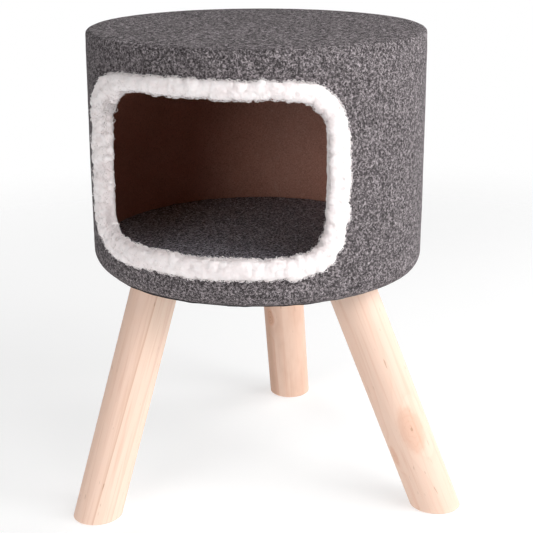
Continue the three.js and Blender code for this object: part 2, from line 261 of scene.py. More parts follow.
class Graph:
    """One material's nodes, made by short calls that each return an output socket."""

    def __init__(self, name, home=None, **constants):
        self.home = home
        self.material = bpy.data.materials.new(name)
        self.material.use_nodes = True
        self.tree = self.material.node_tree
        self.shader = self.tree.nodes["Principled BSDF"]
        for socket, value in constants.items():
            self.shader.inputs[socket.replace("_", " ")].default_value = value

    def add(self, kind, inputs=(), output=0, **settings):
        node = self.tree.nodes.new("ShaderNode" + kind)
        for key, value in settings.items():
            setattr(node, key, value)
        for key, value in dict(inputs).items():
            self.feed(node.inputs[key], value)
        return node.outputs[output]

    def feed(self, socket, value):
        if isinstance(value, bpy.types.NodeSocket):
            self.tree.links.new(value, socket)
        else:
            socket.default_value = value

    def place(self, scale=(1, 1, 1), shift=(0, 0, 0), turn=(0, 0, 0)):
        """The point in the piece's own space, moved, turned and scaled. A home is where that space lies."""
        coordinates = self.add("TexCoord", output="Object")
        if self.home is not None:
            back = self.home.inverted()
            inputs = {"Vector": coordinates, "Location": back.to_translation(), "Rotation": back.to_euler()}
            coordinates = self.add("Mapping", inputs)
        inputs = {"Vector": coordinates, "Location": shift, "Rotation": turn, "Scale": scale}
        return self.add("Mapping", inputs)

    def noise(self, vector, scale, detail=2.0, roughness=0.5, distortion=0.0):
        inputs = {"Vector": vector, "Scale": scale, "Detail": detail}
        inputs |= {"Roughness": roughness, "Distortion": distortion}
        return self.add("TexNoise", inputs)

    def spots(self, vector, scale, feature="F1", randomness=1.0):
        inputs = {"Vector": vector, "Scale": scale, "Randomness": randomness}
        return self.add("TexVoronoi", inputs, "Distance", feature=feature)

    def math(self, operation, first, second=0.5):
        return self.add("Math", {0: first, 1: second}, operation=operation)

    def times(self, first, second):
        return self.math("MULTIPLY", first, second)

    def plus(self, first, second):
        return self.math("ADD", first, second)

    def span(self, value, low, high=1.0):
        """A value from 0 to 1, spread between two others."""
        return self.add("MapRange", {"Value": value, "To Min": low, "To Max": high})

    def band(self, value, low, high):
        """0 at low, 1 at high, and clamped."""
        inputs = {"Value": value, "From Min": low, "From Max": high}
        return self.add("MapRange", inputs, clamp=True, interpolation_type="SMOOTHSTEP")

    def ridge(self, value, middle, width):
        """1 where the value is at the middle, and 0 past the width on either side."""
        away = self.math("ABSOLUTE", self.math("SUBTRACT", value, middle))
        return self.band(away, width, 0.0)

    def mix(self, share, first, second):
        """A blend of two colours."""
        node = self.tree.nodes.new("ShaderNodeMix")
        node.data_type = "RGBA"
        for socket, value in ((MIX_SHARE, share), (MIX_FIRST, first), (MIX_SECOND, second)):
            self.feed(node.inputs[socket], value)
        return node.outputs[MIX_RESULT]

    def colour(self, value):
        self.feed(self.shader.inputs["Base Color"], value)

    def rough(self, value):
        self.feed(self.shader.inputs["Roughness"], value)

    def bump(self, height, distance, strength=1.0):
        inputs = {"Height": height, "Distance": distance, "Strength": strength}
        self.feed(self.shader.inputs["Normal"], self.add("Bump", inputs, "Normal"))

    def scatter(self, weight, radius):
        """Lets light a little way in, a different way for red, green and blue."""
        for socket, value in (("Weight", weight), ("Radius", radius), ("Scale", 1.0)):
            self.shader.inputs["Subsurface " + socket].default_value = value


def rgb(red, green, blue):
    """A colour in linear light."""
    return (red, green, blue, 1.0)


# The felt's strands: the noise's scale, each strand's width, and a shift that makes each noise its own.
# Then the scale and the shift of the gaps that break them.
FELT_STRANDS = ((560.0, 0.15, 0.0), (790.0, 0.14, 3.1), (1200.0, 0.12, 7.7))
FELT_GAPS = ((340.0, 1.7), (420.0, 4.2))


def felt_material(name, shade, light, dark, fineness=(1.0, 1.0, 1.0)):
    """Marled wool felt: pale and dark fibres matted together in short bent strands."""
    graph = Graph(name, Specular_IOR_Level=0.12)
    place = graph.place(scale=fineness)

    def field(frequency, shift, detail=0.0, distortion=0.0):
        moved = graph.add("VectorMath", {0: place, 1: (shift, -shift, 2 * shift)}, operation="ADD")
        return graph.noise(moved, frequency, detail, 0.5, distortion)

    strands = [
        graph.ridge(field(frequency, shift, distortion=0.35), 0.5, width)
        for frequency, width, shift in FELT_STRANDS
    ]
    thin = [graph.band(field(frequency, shift, 1.0), 0.42, 0.62) for frequency, shift in FELT_GAPS]
    pale = graph.times(strands[0], thin[0])
    pale = graph.math("MAXIMUM", pale, graph.times(strands[1], graph.times(thin[1], 0.9)))
    pale = graph.math("MAXIMUM", pale, graph.times(strands[2], 0.35))
    flecks = graph.band(field(520.0, 5.3, 1.0), 0.46, 0.60)
    clumps = graph.band(field(120.0, 9.1, 2.0), 0.30, 0.70)
    colour = graph.mix(graph.times(flecks, 0.9), shade, dark)
    graph.colour(graph.mix(graph.times(pale, graph.span(clumps, 0.75)), colour, light))
    graph.rough(graph.span(strands[2], 0.98, 0.86))
    fuzz = graph.noise(place, 1100.0, 2.0, 0.7)
    height = graph.plus(graph.times(pale, 0.7), graph.times(strands[2], 0.5))
    graph.bump(graph.plus(height, fuzz), 0.00025, 0.7)
    return graph.material


def fleece_material():
    """Cream white sherpa: soft curls that let light in, with painted shade in the hollows between them."""
    graph = Graph("fleece", Sheen_Weight=0.3, Sheen_Roughness=0.6)
    graph.scatter(0.5, (0.005, 0.0046, 0.0045))
    place = graph.place()
    curls = graph.spots(place, 380.0, "SMOOTH_F1")
    wisps = graph.noise(place, 900.0, 3.0, 0.65, 1.2)
    soil = graph.noise(place, 45.0, 2.0)
    base = graph.mix(graph.band(soil, 0.3, 0.7), rgb(0.915, 0.845, 0.843), rgb(0.950, 0.885, 0.883))
    # painted shade: the colour darkens where the surface is lowest, in the hollows between the curls
    curl_gap_shade = graph.times(graph.band(curls, 0.38, 0.80), 0.22)
    graph.colour(graph.mix(curl_gap_shade, base, rgb(0.72, 0.64, 0.63)))
    graph.rough(graph.band(wisps, -1.4, 0.9))
    height = graph.math("SUBTRACT", graph.times(wisps, 0.8), curls)
    graph.bump(height, 0.0004, 0.6)
    return graph.material


def hardboard_material():
    """Brown hardboard: pressed wood fibre, smooth with faint mottling and fine specks."""
    graph = Graph("hardboard")
    place = graph.place()
    mottle = graph.noise(place, 28.0, 4.0, 0.6, 0.4)
    specks = graph.noise(place, 650.0, 2.0, 0.7)
    stain = graph.noise(graph.place(scale=(1, 1, 0.3)), 9.0, 3.0, 0.6)
    base = graph.mix(graph.band(mottle, 0.2, 0.8), rgb(0.430, 0.196, 0.140), rgb(0.500, 0.240, 0.176))
    base = graph.mix(graph.times(graph.band(stain, 0.45, 0.75), 0.3), base, rgb(0.39, 0.17, 0.12))
    fibre = graph.times(graph.band(specks, 0.50, 0.72), 0.6)
    slanted = graph.place(scale=(1, 1, 0.35), turn=(0, 0.5, 0), shift=(0.4, 0.2, 0.1))
    scuffs = graph.noise(slanted, 120.0, 1.0, 0.5, 0.8)
    scuff = graph.times(graph.band(scuffs, 0.735, 0.79), 0.4)
    base = graph.mix(scuff, base, rgb(0.56, 0.34, 0.26))
    pores = graph.times(graph.band(specks, 0.50, 0.30), 0.55)
    base = graph.mix(pores, base, rgb(0.20, 0.085, 0.060))
    graph.colour(graph.mix(fibre, base, rgb(0.60, 0.35, 0.27)))
    graph.rough(graph.span(mottle, 0.50, 0.68))
    graph.bump(graph.plus(specks, mottle), 0.00012, 0.5)
    return graph.material


def fibreboard_material():
    """Pale fibreboard: short wood fibres pressed flat, with a sanded face."""
    graph = Graph("fibreboard")
    place = graph.place()
    fibres = graph.noise(graph.place(scale=(1, 1, 3)), 700.0, 3.0, 0.7, 0.6)
    patches = graph.noise(place, 60.0, 2.0)
    base = graph.mix(graph.band(patches, 0.3, 0.7), rgb(0.44, 0.31, 0.19), rgb(0.52, 0.38, 0.24))
    dark = graph.times(graph.band(fibres, 0.5, 0.7), 0.5)
    graph.colour(graph.mix(dark, base, rgb(0.30, 0.20, 0.12)))
    graph.rough(graph.span(fibres, 0.70, 0.86))
    graph.bump(fibres, 0.0001, 0.6)
    return graph.material


def foam_material():
    """Cream upholstery foam with open cells."""
    graph = Graph("foam")
    place = graph.place()
    cells = graph.spots(place, 900.0)
    tint = graph.noise(place, 40.0, 2.0)
    base = graph.mix(tint, rgb(0.74, 0.68, 0.47), rgb(0.80, 0.75, 0.56))
    graph.colour(graph.mix(graph.band(cells, 0.45, 0.1), base, rgb(0.52, 0.46, 0.30)))
    graph.rough(graph.span(cells, 0.98, 0.85))
    graph.bump(cells, 0.0004, 0.8)
    return graph.material


def dust_cover_material():
    """Black spun fabric, pressed all over with small bond points, with loose fibres between them."""
    graph = Graph("dust_cover", Sheen_Weight=0.1, Sheen_Roughness=0.4)
    place = graph.place()
    points = graph.spots(place, 520.0, randomness=0.15)
    fibres = graph.noise(place, 800.0, 3.0, 0.7, 2.0)
    bond = graph.band(points, 0.42, 0.25)
    base = graph.mix(graph.band(fibres, 0.4, 0.65), rgb(0.010, 0.010, 0.011), rgb(0.032, 0.031, 0.033))
    graph.colour(graph.mix(graph.times(bond, 0.7), base, rgb(0.006, 0.006, 0.007)))
    graph.rough(graph.span(bond, 0.88, 0.45))
    graph.bump(graph.math("SUBTRACT", fibres, bond), 0.00018, 0.8)
    return graph.material


def zinc_material():
    """Zinc plated steel: bright, with a fine crystal bloom and rub marks."""
    graph = Graph("zinc", Metallic=1.0)
    place = graph.place()
    bloom = graph.noise(place, 700.0, 3.0, 0.6)
    rubs = graph.noise(graph.place(scale=(1, 1, 12)), 240.0, 2.0, 0.6)
    graph.colour(graph.mix(graph.band(bloom, 0.35, 0.65), rgb(0.52, 0.53, 0.54), rgb(0.70, 0.71, 0.72)))
    graph.rough(graph.span(rubs, 0.24, 0.46))
    graph.bump(rubs, 0.00004, 0.4)
    return graph.material


def knot_distance(graph, bearing, level, half_width, half_height):
    """How far a point is from a knot on the leg's surface, in the knot's own half widths."""
    inputs = {"Vector": graph.place(shift=(0, 0, -level)), "Angle": -bearing}
    turned = graph.add("VectorRotate", inputs, rotation_type="Z_AXIS")
    outwards = graph.add("VectorMath", {0: turned, 1: (-LEG_RADIUS, 0, 0)}, operation="ADD")
    shares = (KNOT_DEPTH_SHARE, 1 / half_width, 1 / half_height)
    scaled = graph.add("VectorMath", {0: outwards, 1: shares}, operation="MULTIPLY")
    return graph.add("VectorMath", {0: scaled}, "Value", operation="LENGTH")


def knot_marks(graph, knots, across, spacing):
    """The grain drawn round the knots, the blush of the wood round them, and their brown hearts."""
    blush = heart = None
    for bearing, level, half_width, half_height, brown in knots:
        away = knot_distance(graph, bearing, level, half_width, half_height)
        across = graph.plus(across, graph.times(graph.band(away, 2.6, 0.0), 1.7 * spacing))
        uneven = graph.plus(away, graph.times(graph.noise(graph.place(), 160.0, 2.0), 0.5))
        halo = graph.times(graph.band(uneven, 1.45, 0.95), brown)
        circles = graph.ridge(graph.math("FRACT", graph.times(uneven, 4.0)), 0.5, 0.22)
        halo = graph.times(halo, graph.span(circles, 0.8))
        core = graph.times(graph.band(away, 0.10, 0.05), brown)
        blush = halo if blush is None else graph.math("MAXIMUM", blush, halo)
        heart = core if heart is None else graph.math("MAXIMUM", heart, core)
    return across, blush, heart


def ring_lines(graph, across, spacing):
    """The late wood's thin lines, one of them strong, and the tone that deepens towards each of them."""
    years = graph.math("DIVIDE", across, spacing)
    late = graph.math("FRACT", years)
    year = graph.math("FLOOR", graph.plus(years, 0.5))
    chance = graph.add("TexWhiteNoise", {"W": year}, noise_dimensions="1D")
    main = graph.band(graph.math("ABSOLUTE", year), 0.6, 0.4)
    strength = graph.math("MAXIMUM", main, graph.times(chance, 0.45))
    edge = graph.band(late, 1.0, 0.95)
    line = graph.times(graph.times(graph.band(late, 0.68, 0.93), edge), strength)
    return line, graph.times(graph.band(late, 0.0, 0.9), edge)


RING_WOOD = rgb(0.66, 0.375, 0.255)
BROWN_WOOD = rgb(0.40, 0.215, 0.125)
KNOT_WOOD = rgb(0.66, 0.355, 0.235)


def pine_material(name, home, grain, knots, pale, warm):
    """Sanded pale pine. grain is the bearing of a strong ring line at mid height, how far it wanders round
    the leg with height, the ring spacing and how dark the lines and the wood beside them are. Each knot has a
    bearing, a level, a half width and a half height on the leg, and how brown it is."""
    graph = Graph(name, home)
    graph.scatter(0.06, (0.003, 0.002, 0.0015))
    bearing, slope, spacing, darkness, shading = grain
    inputs = {0: graph.place(shift=(0, 0, -LEG_MIDDLE)), 1: (-math.sin(bearing), math.cos(bearing), -slope)}
    across = graph.add("VectorMath", inputs, "Value", operation="DOT_PRODUCT")
    wander = graph.noise(graph.place(scale=(1, 1, 0.22), shift=(0.3, 0.1, 0)), 24.0, 2.0)
    across = graph.plus(across, graph.times(graph.math("SUBTRACT", wander, 0.5), 0.0045))
    side = graph.band(across, -0.008, 0.002)
    across, blush, heart = knot_marks(graph, knots, across, spacing)
    line, tone = ring_lines(graph, across, spacing)
    fibre = graph.noise(graph.place(scale=(1, 1, 0.022)), 1300.0, 3.0, 0.65)
    streak = graph.noise(graph.place(scale=(1, 1, 0.03), shift=(0.7, 0.2, 0)), 330.0, 2.0, 0.6)
    duct = graph.band(graph.noise(graph.place(scale=(1, 1, 0.20)), 330.0, 1.0, 0.5), 0.715, 0.78)
    cloud = graph.noise(graph.place(scale=(1, 1, 0.4)), 42.0, 3.0, 0.6)
    layers = [
        (graph.times(graph.band(cloud, 0.35, 0.75), 0.4), warm),
        (graph.times(tone, shading), RING_WOOD),
        (graph.times(line, darkness), RING_WOOD),
        (graph.times(graph.band(fibre, 0.5, 0.75), 0.12), RING_WOOD),
        (graph.times(graph.band(streak, 0.52, 0.70), 0.30), RING_WOOD),
        (graph.times(duct, 0.5), BROWN_WOOD),
    ]
    if knots:
        deep = graph.times(graph.band(blush, 0.75, 1.0), 0.5)
        layers += [(blush, KNOT_WOOD), (deep, BROWN_WOOD), (heart, BROWN_WOOD)]
    colour = graph.mix(side, warm, pale)
    for share, wood in layers:
        colour = graph.mix(share, colour, wood)
    graph.colour(colour)
    graph.rough(graph.span(fibre, 0.48, 0.66))
    graph.bump(graph.plus(graph.times(fibre, 0.5), graph.times(duct, -0.6)), 0.00015, 0.5)
    return graph.material


FELT_GREY = felt_material("felt", rgb(0.028, 0.024, 0.026), rgb(0.47, 0.420, 0.436), rgb(0.003, 0.002, 0.002))
# The lid is the same felt as the wall. Its copy has paler strands, which is painted light on the lid's top
# face.
LIGHTER_LID_FELT = felt_material(
    "lid_felt_painted_lighter",
    rgb(0.028, 0.024, 0.026),
    rgb(0.62, 0.556, 0.577),
    rgb(0.003, 0.002, 0.002),
    fineness=(0.80, 0.60, 0.80),
)
# The pad is the same felt as the cover. Its copy has far paler flecks: painted light that makes up for the
# shade inside the drum.
LIGHTER_PAD_FELT = felt_material(
    "pad_felt",
    rgb(0.026, 0.026, 0.031),
    rgb(0.90, 0.88, 1.00),
    rgb(0.004, 0.004, 0.005),
    fineness=(1.05, 0.9, 1.05),
)
FLEECE = fleece_material()
HARDBOARD = hardboard_material()
FIBREBOARD = fibreboard_material()
FOAM = foam_material()
DUST_COVER = dust_cover_material()
ZINC = zinc_material()


# ---------------------------------------------------------------- the entrance's outline


def entrance_distance(along, level):
    """How far a point of the wall lies outside the entrance, with the way outwards; negative inside it."""
    middle = (ENTRANCE_LOW + ENTRANCE_HIGH) / 2
    straight_half = HALF_WIDTH - ENTRANCE_CORNER
    straight_height = (ENTRANCE_HIGH - ENTRANCE_LOW) / 2 - ENTRANCE_CORNER
    across = abs(along) - straight_half
    up = abs(level - middle) - straight_height
    round_corner = np.hypot(np.maximum(across, 0), np.maximum(up, 0))
    distance = round_corner + np.minimum(np.maximum(across, up), 0) - ENTRANCE_CORNER
    in_corner = (across > 0) & (up > 0)
    sideways = np.where(in_corner, across / np.maximum(round_corner, 1e-9), across > up)
    upright = np.where(in_corner, up / np.maximum(round_corner, 1e-9), across <= up)
    way = np.stack([sideways * np.sign(along), upright * np.sign(level - middle)], axis=-1)
    return distance, way


def cut_entrance(along, level, quads):
    """Drops the quads inside the entrance and draws the points left inside it out to its outline."""
    distance, way = entrance_distance(along, level)
    kept = quads[(distance[quads] > 0).any(axis=1)]
    inward = np.minimum(distance, 0)
    return along - inward * way[..., 0], level - inward * way[..., 1], kept


def entrance_outline(count):
    """Points at equal steps round the entrance, from the middle of its lower edge up its right side, and the
    way out of it at each."""
    side = HALF_WIDTH - ENTRANCE_CORNER
    low, high = ENTRANCE_LOW + ENTRANCE_CORNER, ENTRANCE_HIGH - ENTRANCE_CORNER
    path = [(0, ENTRANCE_LOW)]
    for x, z, start in ((side, low, -90), (side, high, 0), (-side, high, 90), (-side, low, 180)):
        path += arc((x, z), ENTRANCE_CORNER, start, start + 90, 40)
    path.append((0, ENTRANCE_LOW))
    points = along_path(path, count + 1)[:-1]
    step = np.roll(points, -1, 0) - np.roll(points, 1, 0)
    step /= np.linalg.norm(step, axis=1, keepdims=True)
    return points, np.column_stack([step[:, 1], -step[:, 0]])


# ---------------------------------------------------------------- felt cover

FELT_NOISE = Noise(11)
WALL_STEPS = 500
WALL_ROWS = 116
LID_CELLS = 150
LID_FACE = 0.0012  # how far down the lid's edge its top face reaches
SEAM_WIDTH = 0.0016
SEAM_DEPTH = 0.0012
WALL_WAVES = 0.00035  # the felt's slow waves
LID_WAVES = 0.00022
WALL_GRAIN = 0.00010  # its fine unevenness
LID_GRAIN = 0.00009
GRAIN_SIZE = 0.0042
ENTRANCE_PULL = 0.0003  # how far the felt stands out beside the fleece
LID_PULL = 0.0003  # how far the lid is drawn down beside its edge
HEM_FADE = 0.012


def felt_profile(rounding, radius, top, hem_level):
    """Radius and level down the side, round the lower edge and in under the base."""
    path = [(radius, top), (radius, hem_level + rounding)]
    path += arc((radius - rounding, hem_level + rounding), rounding, 0, -90)
    path.append((HEM_RADIUS, hem_level))
    return path


def wall_relief(flat, along, level):
    """How far the felt wall stands out: its slack, its puckers by the fleece, and the seam."""
    distance, _ = entrance_distance(along, level)
    waves = WALL_WAVES * (1 + FELT_NOISE(flat, 0.045)) + WALL_GRAIN * (1 + FELT_NOISE(flat, GRAIN_SIZE))
    beside = np.exp(-np.maximum(distance - 0.012, 0) / 0.012)
    drawn = beside * (1 + FELT_NOISE(flat, 0.011)) * ENTRANCE_PULL
    seam_gap = math.pi * DRUM_RADIUS - abs(along)
    groove = SEAM_DEPTH * np.exp(-((seam_gap / SEAM_WIDTH) ** 2))
    pucker = 0.0004 * np.exp(-seam_gap / 0.010) * FELT_NOISE(np.stack([level] * 3, -1), 0.008)
    fade = smooth_step(SEAM_LEVEL - level, 0, HEM_FADE)
    return (waves + drawn + pucker) * fade - groove * smooth_step(level, HEM_LEVEL, HEM_LEVEL + HEM_FADE)


def side_felt():
    """The felt wall, sewn into a tube with its seam at the back and turned under the base."""

    def profile(rounding, radius, hem_level):
        return along_path(felt_profile(rounding, radius, SEAM_LEVEL, hem_level), WALL_ROWS)

    outer = profile(LOWER_ROUND, DRUM_RADIUS, HEM_LEVEL)
    tight = profile(LOWER_ROUND + LOWER_PULL, DRUM_RADIUS, HEM_LEVEL)
    inner = profile(LOWER_ROUND - FELT, DRUM_RADIUS - FELT, HEM_LEVEL + FELT)
    bearing = math.pi / WALL_STEPS + np.arange(WALL_STEPS) * 2 * math.pi / WALL_STEPS - math.pi
    pull = (0.5 + 0.5 * np.cos(bearing - LOWER_PULL_BEARING))[:, None, None]
    outer = outer * (1 - pull) + tight * pull
    inner = np.broadcast_to(inner, outer.shape)
    quads = grid_quads(WALL_STEPS, WALL_ROWS, wrap_rows=True)
    along = np.repeat(bearing * DRUM_RADIUS, WALL_ROWS)
    outer_radius, outer_level = outer.reshape(-1, 2).T
    inner_radius, inner_level = inner.reshape(-1, 2).T
    along, level, quads = cut_entrance(along, outer_level, quads)
    lift = wall_relief(around(along / DRUM_RADIUS, outer_radius, level), along, level)
    upper = around(along / DRUM_RADIUS, outer_radius + lift * (level > HEM_LEVEL + 1e-4), level)
    under = around(along / DRUM_RADIUS, inner_radius, inner_level + (level - outer_level))
    points, faces = used_sheet(upper, under, quads)
    piece = make_piece("side_felt_sheet", points, [faces], FELT_GREY, stands_for=["side_felt"])


def top_felt():
    """The felt lid, drawn down over the edge of the top to meet the wall."""
    bearing, share, quads = disc_grid(LID_CELLS)

    def layer(rounding, radius, top):
        path = [(0, top), (radius - rounding, top)]
        path += arc((radius - rounding, top - rounding), rounding, 90, 0)
        path.append((radius, SEAM_LEVEL))
        fine = along_path(path, 2000)
        place = np.linspace(0, 1, len(fine))
        return np.interp(share, place, fine[:, 0]), np.interp(share, place, fine[:, 1])

    radius, level = layer(EDGE_ROUND, DRUM_RADIUS, TOP_LEVEL)
    under = around(bearing, *layer(EDGE_ROUND - FELT, DRUM_RADIUS - FELT, TOP_LEVEL - FELT))
    flat = around(bearing, radius, level)
    edge = smooth_step(radius, DRUM_RADIUS - 0.045, DRUM_RADIUS - 0.006)
    soft = LID_WAVES * (FELT_NOISE(flat, 0.06) - 1) + LID_GRAIN * (FELT_NOISE(flat, GRAIN_SIZE) - 1)
    sag = soft - LID_PULL * edge * (radius < DRUM_RADIUS - 0.001)
    sag = sag * smooth_step(level, SEAM_LEVEL, SEAM_LEVEL + 0.006)
    upper = flat + sag[:, None] * (0, 0, 1)
    points, faces = closed_sheet(upper, under, quads)
    piece = make_piece("top_felt_sheet", points, [faces], LIGHTER_LID_FELT, stands_for=["top_felt"])
    # The flat top takes the painted lighter copy of the felt, and the turned down rim takes the wall's felt.
    piece.data.materials.append(FELT_GREY)
    for face in piece.data.polygons:
        face.material_index = int(face.center.z < TOP_LEVEL - LID_FACE)


# ---------------------------------------------------------------- board, foam and dust cover


BOARD_STEPS = 420
BOARD_ROWS = 60
BOARD_LAP = 0.0006  # how far the lapped end stands in
FOAM_CELLS = 90
COVER_CELLS = 110


def shell_board():
    """The bent hardboard wall, its ends lapped at one side of the cabin."""
    bearing = LAP_BEARING + np.linspace(0, 2 * math.pi, BOARD_STEPS, endpoint=False)
    bearing = np.where(bearing > math.pi, bearing - 2 * math.pi, bearing)
    quads = grid_quads(BOARD_STEPS, BOARD_ROWS, wrap_rows=True)
    along = np.repeat(bearing * DRUM_RADIUS, BOARD_ROWS)
    level = np.tile(np.linspace(BOARD_LOW, BOARD_HIGH, BOARD_ROWS), BOARD_STEPS)
    along, level, quads = cut_entrance(along, level, quads)
    turn = along / DRUM_RADIUS
    past_lap = (turn - LAP_BEARING) % (2 * math.pi)
    lap = BOARD_LAP * np.clip(1 - past_lap / 0.17, 0, 1)
    outer = around(turn, BOARD_OUTSIDE, level)
    inner = around(turn, BOARD_INSIDE - lap, level)
    points, faces = used_sheet(outer, inner, quads)
    make_piece("shell_board", points, [faces], HARDBOARD, stands_for=["drum_shell"])


def foam_sheet():
    """The foam under the felt lid, pressed thinner at its rim."""
    low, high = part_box("top_foam")
    radius = (high.x - low.x) / 2
    bearing, share, quads = disc_grid(FOAM_CELLS)
    noise = Noise(23)
    flat = around(bearing, radius * share, high.z)
    give = 0.0002 * (noise(flat, 0.01) - 1) - 0.0012 * smooth_step(share, 0.93, 1.0)
    upper = flat + give[:, None] * (0, 0, 1)
    points, faces = closed_sheet(upper, around(bearing, radius * share, low.z), quads)
    piece = make_piece("foam_sheet", points, [faces], FOAM, stands_for=["top_foam"])


def dust_cover():
    """The black cloth over the underside, stapled round its rim and a little slack between the staples."""
    low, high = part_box("base_lining")
    radius = (high.x - low.x) / 2
    bearing, share, quads = disc_grid(COVER_CELLS)
    noise = Noise(31)
    flat = around(bearing, radius * share, low.z)
    slack = 0.00022 * (1 + noise(flat, 0.022))
    slack = slack + 0.0003 * smooth_step(share, 0.9, 0.98) * (1 + noise(flat, 0.009))
    raised = flat + slack[:, None] * (0, 0, 1)
    top = around(bearing, radius * share, high.z)
    points, faces = closed_sheet(top, raised, quads)
    piece = make_piece(
        "dust_cover_sheet", points, [faces], DUST_COVER, stands_for=["base_lining"]
    )


# ---------------------------------------------------------------- fleece

# Round the entrance from the middle of its lower edge, up the right side and back along the top: the share
# of the way round, how far the fleece laps the felt, and how far it fills into the opening.
TRIM_WIDTHS = (
    (0.000, 0.0110, 0.0050),
    (0.100, 0.0110, 0.0055),
    (0.155, 0.0080, 0.0095),
    (0.200, 0.0140, 0.0030),
    (0.250, 0.0165, 0.0005),
    (0.300, 0.0140, 0.0015),
    (0.345, 0.0075, 0.0095),
    (0.400, 0.0085, 0.0035),
    (0.500, 0.0100, 0.0028),
    (0.590, 0.0080, 0.0022),
    (0.602, 0.0075, 0.0030),
    (0.611, 0.0070, 0.0095),
    (0.620, 0.0065, 0.0160),
    (0.628, 0.0055, 0.0195),
    (0.640, 0.0040, 0.0220),
    (0.650, 0.0035, 0.0240),
    (0.662, 0.0035, 0.0260),
    (0.680, 0.0050, 0.0225),
    (0.700, 0.0065, 0.0200),
    (0.750, 0.0085, 0.0165),
    (0.800, 0.0085, 0.0145),
    (0.845, 0.0040, 0.0180),
    (0.890, 0.0085, 0.0090),
    (0.950, 0.0105, 0.0060),
)
TRIM_ROWS = 900
TRIM_SHOWN = 66
TRIM_BULGE = 0.0068
TRIM_BACK = 0.0077
# The fleece's lumps: height, shift in the noise and size.
REACH_LUMPS = ((0.0010, 0, 0.016), (0.0011, 1, 0.0055), (0.0008, 5, 0.0033))
LIP_LUMPS = ((0.0008, 2, 0.014), (0.0012, 3, 0.0055), (0.0009, 6, 0.0033))
NUBS = ((0.0068, 0.0024, 7), (0.0028, 0.0007, 8))  # spacing, height and seed
CURLS = 4400
CURL_STEPS = 5


def trim_section(reach, lip, bulge):
    """The fleece's section at each step round the entrance: how far outwards and how far in front."""
    back = -TRIM_BACK
    shown = [
        (reach - 0.0010, 0.0003),
        (reach + 0.0003, 0.0024),
        (reach * 0.80, bulge * 0.82),
        (reach * 0.40 - lip * 0.25, bulge),
        (-lip * 0.60, bulge * 0.70),
        (-lip, 0.0010),
        (-lip * 0.96, -0.0045),
        (-lip * 0.35, back - 0.0020),
        (0.0030, back - 0.0034),
        (0.0070, back - 0.0026),
        (0.0080, back - 0.0006),
    ]
    pairs = [np.stack(np.broadcast_arrays(*pair, reach)[:2], axis=-1) for pair in shown]
    return np.stack(pairs, axis=1)


def catmull(controls, count):
    """A smooth curve through the control points, one curve for each row."""
    before = 2 * controls[:, :1] - controls[:, 1:2]
    after = 2 * controls[:, -1:] - controls[:, -2:-1]
    padded = np.concatenate([before, controls, after], 1)
    spans = controls.shape[1] - 1
    place = np.linspace(0, spans, count)
    span = np.minimum(place.astype(int), spans - 1)
    t = (place - span)[None, :, None]
    p0, p1, p2, p3 = (padded[:, span + k] for k in range(4))
    straight = 2 * p1 + (p2 - p0) * t
    bend = (2 * p0 - 5 * p1 + 4 * p2 - p3) * t**2
    return 0.5 * (straight + bend + (3 * p1 - p0 - 3 * p2 + p3) * t**3)


def wall_points(along, level, front):
    """Points of the wall, a distance in front of its felt."""
    return around(along / DRUM_RADIUS, DRUM_RADIUS + front, level)


def nub_relief(points, normals, strength, spacing, height, seed):
    """Pushes the points out in round nubs, each with its own size and height."""
    random = np.random.default_rng(seed)
    rows, columns, _ = points.shape
    length = np.linalg.norm(points - np.roll(points, 1, 0), axis=2).mean() * rows
    width = np.linalg.norm(np.diff(points, axis=1), axis=2).sum(1).mean()
    nubs_along = int(length / spacing)
    nubs_across = int(width / spacing)
    grid = (nubs_along, nubs_across)
    row = (np.arange(nubs_along)[:, None] + random.uniform(-0.48, 0.48, grid)) / nubs_along
    row += 0.5 / nubs_along * (np.arange(nubs_across) % 2)
    column = (np.arange(nubs_across) + random.uniform(0.05, 0.95, grid)) / nubs_across
    row_index = np.round(row * rows).astype(int) % rows
    column_index = np.clip(np.round(column * (columns - 1)).astype(int), 0, columns - 1)
    centres = points[row_index, column_index].reshape(-1, 3)
    heights = random.uniform(0.35, 1.0, len(centres)) * height
    reaches = random.uniform(0.75, 1.25, len(centres)) * spacing * 0.80
    tree = KDTree(len(centres))
    for index, centre in enumerate(centres):
        tree.insert(centre, index)
    tree.balance()
    lift = np.zeros(rows * columns)
    for index, point in enumerate(points.reshape(-1, 3)):
        for _, nub, distance in tree.find_n(point, 3):
            share = 1 - (distance / reaches[nub]) ** 2
            if share > 0:
                lift[index] = max(lift[index], heights[nub] * math.sqrt(share))
    return points + normals * (lift.reshape(rows, columns) * strength)[..., None]


